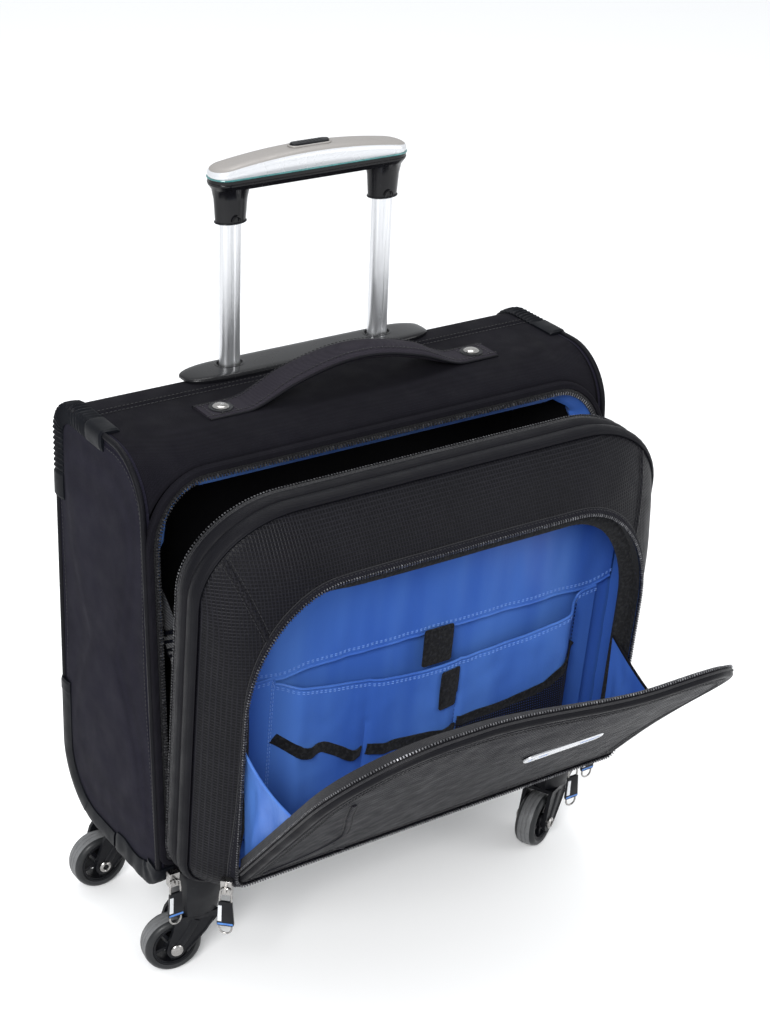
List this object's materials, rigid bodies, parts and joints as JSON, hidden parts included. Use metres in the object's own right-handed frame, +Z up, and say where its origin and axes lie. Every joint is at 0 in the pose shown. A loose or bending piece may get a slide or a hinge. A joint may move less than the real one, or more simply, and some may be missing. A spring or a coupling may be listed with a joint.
{
  "type": "rolling laptop case",
  "caption": "Wheeled soft laptop case with a telescopic trolley, swivelling casters, a front pod that tilts open, and a fold-down organiser flap.",
  "frame": {"origin": "the floor, under the middle of the part's bounding box, with the pod and flap open as stored", "axes": "+Z up, -Y towards the front with the pod and flap, +Y towards the back with the trolley"},
  "size_m": [0.4214, 0.3784, 0.5985],
  "materials": {
    "case_fabric": "woven, matt",
    "pod_fabric": "fine ripstop weave, slight sheen",
    "lining_blue": "satin lining",
    "lining_dark": "matt lining",
    "guard_rubber": "satin moulded rubber",
    "gloss_plastic": "high gloss",
    "black_plastic": "satin moulded",
    "aluminium_tube": "satin anodised",
    "grip_silver": "silver paint",
    "steel": "nickel plated",
    "tyre_grey": "smooth grey",
    "badge_metal": "satin nickel"
  },
  "bodies": {
    "case": {"left_side_panel": "case_fabric", "right_side_panel": "case_fabric", "top_panel": "case_fabric", "back_panel": "case_fabric", "base_panel": "case_fabric", "front_frame": "case_fabric", "back_lining": "lining_dark", "outer_tube_left": "steel", "outer_tube_right": "steel", "trolley_foot": "black_plastic", "trolley_bezel": "gloss_plastic", "carry_handle": "case_fabric", "handle_rivet_left": "steel", "handle_rivet_right": "steel", "upper_guard_left": "guard_rubber", "upper_guard_right": "guard_rubber", "rear_guard_left": "guard_rubber", "rear_guard_right": "guard_rubber", "front_guard_left": "guard_rubber", "front_guard_right": "guard_rubber", "caster_housing_front_left": "black_plastic", "caster_housing_rear_left": "black_plastic", "caster_housing_front_right": "black_plastic", "caster_housing_rear_right": "black_plastic", "main_slider_left": "steel", "main_slider_right": "steel"},
    "trolley_middle": {"middle_tube_left": "aluminium_tube", "middle_tube_right": "aluminium_tube"},
    "trolley_top": {"inner_tube_left": "aluminium_tube", "inner_tube_right": "aluminium_tube", "grip_base": "black_plastic", "grip_cover": "grip_silver"},
    "trolley_button": {"release_button": "black_plastic", "push_rod_left": "steel", "push_rod_right": "steel"},
    "fork_front_left": {"caster_fork_front_left": "black_plastic"},
    "wheel_front_left": {"wheel_hub_front_left": "black_plastic", "wheel_tyre_front_left": "tyre_grey"},
    "fork_rear_left": {"caster_fork_rear_left": "black_plastic"},
    "wheel_rear_left": {"wheel_hub_rear_left": "black_plastic", "wheel_tyre_rear_left": "tyre_grey"},
    "fork_front_right": {"caster_fork_front_right": "black_plastic"},
    "wheel_front_right": {"wheel_hub_front_right": "black_plastic", "wheel_tyre_front_right": "tyre_grey"},
    "fork_rear_right": {"caster_fork_rear_right": "black_plastic"},
    "wheel_rear_right": {"wheel_hub_rear_right": "black_plastic", "wheel_tyre_rear_right": "tyre_grey"},
    "pod": {"pod_gusset": "pod_fabric", "pod_face": "pod_fabric", "pod_back": "lining_blue", "organiser_pocket": "lining_blue", "laptop_sleeve": "lining_dark", "flap_slider_left": "steel", "flap_slider_right": "steel"},
    "flap": {"flap_panel": "pod_fabric", "flap_badge": "badge_metal"},
    "main_pull_left_swing": {"main_pull_left": "steel"},
    "main_pull_right_swing": {"main_pull_right": "steel"},
    "flap_pull_left_swing": {"flap_pull_left": "steel"},
    "flap_pull_right_swing": {"flap_pull_right": "steel"}
  },
  "joints": [
    {"name": "trolley_middle_slide", "type": "slide", "parent": "case", "child": "trolley_middle", "axis": [0, 0, 1], "range_m": [0, 0.243]},
    {"name": "trolley_inner_slide", "type": "slide", "parent": "trolley_middle", "child": "trolley_top", "axis": [0, 0, 1], "range_m": [-0.112, 0.127]},
    {"name": "button_press", "type": "slide", "parent": "trolley_top", "child": "trolley_button", "axis": [0, 0, -1], "range_m": [0, 0.004], "stiffness_N_per_m": 1000, "springref_m": -0.0015},
    {"name": "swivel_front_left", "type": "hinge", "parent": "case", "child": "fork_front_left", "pos_m": [-0.16785, 0.0392, 0.0582], "axis": [0, 0, 1], "continuous": true},
    {"name": "spin_front_left", "type": "hinge", "parent": "fork_front_left", "child": "wheel_front_left", "pos_m": [-0.18726, 0.04192, 0.0233], "axis": [0.1392, 0.9903, 0], "continuous": true},
    {"name": "swivel_rear_left", "type": "hinge", "parent": "case", "child": "fork_rear_left", "pos_m": [-0.16785, 0.1662, 0.0582], "axis": [0, 0, 1], "continuous": true},
    {"name": "spin_rear_left", "type": "hinge", "parent": "fork_rear_left", "child": "wheel_rear_left", "pos_m": [-0.18745, 0.1662, 0.0233], "axis": [0, 1, 0], "continuous": true},
    {"name": "swivel_front_right", "type": "hinge", "parent": "case", "child": "fork_front_right", "pos_m": [0.17415, 0.0392, 0.0582], "axis": [0, 0, 1], "continuous": true},
    {"name": "spin_front_right", "type": "hinge", "parent": "fork_front_right", "child": "wheel_front_right", "pos_m": [0.15669, 0.0303, 0.0233], "axis": [-0.454, 0.891, 0], "continuous": true},
    {"name": "swivel_rear_right", "type": "hinge", "parent": "case", "child": "fork_rear_right", "pos_m": [0.17415, 0.1662, 0.0582], "axis": [0, 0, 1], "continuous": true},
    {"name": "spin_rear_right", "type": "hinge", "parent": "fork_rear_right", "child": "wheel_rear_right", "pos_m": [0.15585, 0.17322, 0.0233], "axis": [0.3584, 0.9336, 0], "continuous": true},
    {"name": "pod_hinge", "type": "hinge", "parent": "case", "child": "pod", "pos_m": [0.00315, 0.02669, 0.103], "axis": [1, 0, 0], "range_deg": [-7.9, 0]},
    {"name": "flap_hinge", "type": "hinge", "parent": "pod", "child": "flap", "pos_m": [0.00315, -0.03405, 0.11778], "axis": [1, 0, 0], "range_deg": [-36, 0]},
    {"name": "main_pull_left_hang", "type": "hinge", "parent": "case", "child": "main_pull_left_swing", "pos_m": [-0.19435, 0.02054, 0.0955], "axis": [-1, 0, 0], "range_deg": [0, 80]},
    {"name": "main_pull_right_hang", "type": "hinge", "parent": "case", "child": "main_pull_right_swing", "pos_m": [0.20065, 0.02054, 0.0955], "axis": [-1, 0, 0], "range_deg": [0, 80]},
    {"name": "flap_pull_left_hang", "type": "hinge", "parent": "pod", "child": "flap_pull_left_swing", "pos_m": [-0.1836, -0.03601, 0.11988], "axis": [-0.7314, 0.682, 0], "range_deg": [0, 80]},
    {"name": "flap_pull_right_hang", "type": "hinge", "parent": "pod", "child": "flap_pull_right_swing", "pos_m": [0.16315, -0.00583, 0.0952], "axis": [-1, 0, 0], "range_deg": [-12, 80]}
  ]
}
